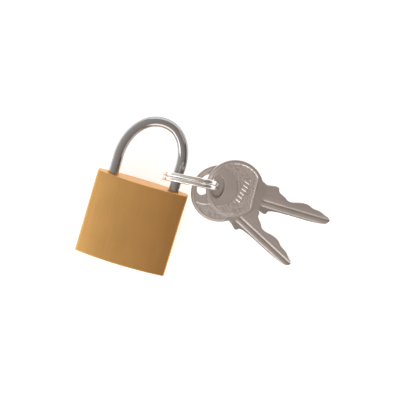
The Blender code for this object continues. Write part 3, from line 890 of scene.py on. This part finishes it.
def key_shape():
    """One key as a closed bmesh with both faces in relief, origin at the bow's centre."""
    bow = arc_points((0, 0), (BOW_R, BOW_R), BOW_START, BOW_END, BOW_STEPS)
    outline = np.array(bow + rounded(NECK_AND_BLADE))
    tilt = Matrix.Rotation(HOLE_TURN, 2)
    oval = arc_points((0, 0), HOLE_RADII, 0, HOLE_SWEEP, HOLE_STEPS)
    hole = np.array([tuple(tilt @ Vector(point) + Vector(HOLE_CENTRE)) for point in oval])
    flat, faces = key_face(outline, hole)
    edge = np.minimum(distance_to(flat, outline), distance_to(flat, hole))
    half = KEY_THICKNESS / 2
    shape = bmesh.new()
    # Each point keeps its painted light and shade, partly polish from use, for the key's nickel.
    painted_light_and_wear = shape.verts.layers.float.new("painted_light_and_wear")
    layers = []
    for face, seed in STIPPLE_SEEDS.items():
        depth, tone = key_relief(flat, edge, stippling(flat, seed), face)
        layer = {}
        for i in np.unique(faces):
            layer[i] = shape.verts.new((flat[i][0] * MM, flat[i][1] * MM, face * (half - depth[i]) * MM))
            layer[i][painted_light_and_wear] = float(tone[i])
        layers.append(layer)
    high, low = layers
    sides = []
    for a, b, c in faces:
        shape.faces.new((high[a], high[b], high[c]))
        shape.faces.new((low[c], low[b], low[a]))
        sides += [(a, b), (b, c), (c, a)]
    known = set(sides)
    for a, b in sides:
        if (b, a) not in known:
            shape.faces.new((high[b], high[a], low[a], low[b]))
    return shape


def keys():
    """Both keys, each turned about its hole to lie square to its joint's axis."""
    for name, yaw in KEY_YAWS.items():
        joint = JOINTS[f"{name}_fan"]
        normal = Vector(joint["axis"]).normalized()
        heading = Vector((math.cos(math.radians(yaw)), math.sin(math.radians(yaw)), 0))
        side = normal.cross(heading).normalized()
        turn = Matrix((side.cross(normal), side, normal)).transposed()
        bow = Vector(joint["pos_m"]) / MM - turn @ Vector((*HOLE_CENTRE, 0))
        made = finished(f"{name}_pressed", key_shape(), NICKEL, bow, turn.to_quaternion())
        smooth(made, sharp=38)
        stands_for(made, name, name)


# ---------------------------------------------------------------- works inside the case

def inner_parts():
    """The pieces inside the case keep their CAD shapes and take finished metals."""
    finishes = {
        "key_pin": PIN_BRASS, "driver_pin": PIN_BRASS, "heel_spring_cap": PIN_BRASS,
        "pin_spring": SPRING_STEEL, "bolt_spring": SPRING_STEEL, "shackle_spring": SPRING_STEEL,
        "locking_bolt": HARD_STEEL, "plug_cam_pin": HARD_STEEL,
    }
    for name, node in frame["nodes"].items():
        for start, finish in finishes.items():
            if name.startswith(start):
                node.data.materials.clear()
                node.data.materials.append(finish)


# ---------------------------------------------------------------- stage, light and camera

def stage():
    """A white floor that glows a little, so that the part's shadow stays faint."""
    shape = bmesh.new()
    bmesh.ops.create_grid(shape, x_segments=1, y_segments=1, size=FLOOR_HALF_WIDTH)
    paint = bpy.data.materials.new("floor_white")
    paint.use_nodes = True
    shader = paint.node_tree.nodes["Principled BSDF"]
    shader.inputs["Base Color"].default_value = (0.93, 0.93, 0.93, 1)
    shader.inputs["Emission Color"].default_value = (1, 1, 1, 1)
    shader.inputs["Emission Strength"].default_value = 0.65
    shader.inputs["Roughness"].default_value = 0.6
    finished("floor", shape, paint, (0, 0, FLOOR_Z))


def softbox(name, where, size, power, colour=(1, 1, 1)):
    """A rectangular light of a size and a power in watts, aimed at the foot of the shackle."""
    data = bpy.data.lights.new(name, "AREA")
    data.shape = "RECTANGLE"
    data.size, data.size_y = size
    data.energy = power
    data.color = colour
    made = in_scene(name, data)
    made.location = where
    made.rotation_mode = "QUATERNION"
    made.rotation_quaternion = along(Vector(where) - Vector(LIT_POINT))


def lights():
    """A soft room, cool at the left and warm and dimmer at the right, with four soft boxes."""
    world = bpy.data.worlds.new("studio")
    bpy.context.scene.world = world
    world.use_nodes = True
    tree = world.node_tree
    place = shader_node(tree, "ShaderNodeTexCoord").outputs["Generated"]
    split = shader_node(tree, "ShaderNodeSeparateXYZ", Vector=place)
    across = shader_node(tree, "ShaderNodeMapRange", Value=split.outputs["X"], From_Min=-0.85, From_Max=0.85)
    sweep = colour_ramp(
        tree, across.outputs["Result"], (0.0, (0.64, 0.62, 0.60)), (0.12, (0.505, 0.515, 0.50)),
        (0.5, (0.46, 0.425, 0.40)), (0.88, (0.36, 0.30, 0.265)), (1.0, (0.20, 0.17, 0.155)),
    )
    tree.links.new(sweep, tree.nodes["Background"].inputs["Color"])
    softbox("left_light", (-0.76, -0.68, 0.36), (0.75, 0.75), 3.6, (0.96, 1.0, 1.06))
    softbox("key_light", (-0.03, -0.85, 0.5), (0.8, 0.75), 3.0)
    softbox("back_light", (0.1, 1.0, 0.16), (1.5, 0.36), 1.6)
    softbox("right_light", (0.75, 0.55, 0.5), (0.4, 0.4), 0.4)
    bpy.context.scene.view_settings.view_transform = "Standard"


def camera():
    """A long lens nearly square to the front, tipped and rolled as in the photo."""
    target = Vector((25.45, 17.85, 7.0)) * MM
    tip, roll, sideways = math.radians(9.8), math.radians(16.9), -0.017
    lens, sensor, seen_width = 150.0, 36.0, 171.3 * MM
    toward = Vector((sideways, math.sin(tip), math.cos(tip))).normalized()
    y_seen = (Vector((0, 1, 0)) - toward * toward.y).normalized()
    x_seen = y_seen.cross(toward)
    up = (y_seen * math.cos(roll) - x_seen * math.sin(roll)).normalized()
    stance = Matrix((up.cross(toward), up, toward)).transposed().to_4x4()
    data = bpy.data.cameras.new("camera")
    data.lens = lens
    data.sensor_width = sensor
    data.clip_end = CLIP_END
    made = in_scene("camera", data)
    made.matrix_world = Matrix.Translation(target + toward * (seen_width * lens / sensor)) @ stance
    bpy.context.scene.camera = made


camera()
lights()
stage()
case()
side_plugs()
plug()
shackle()
split_ring()
keys()
inner_parts()
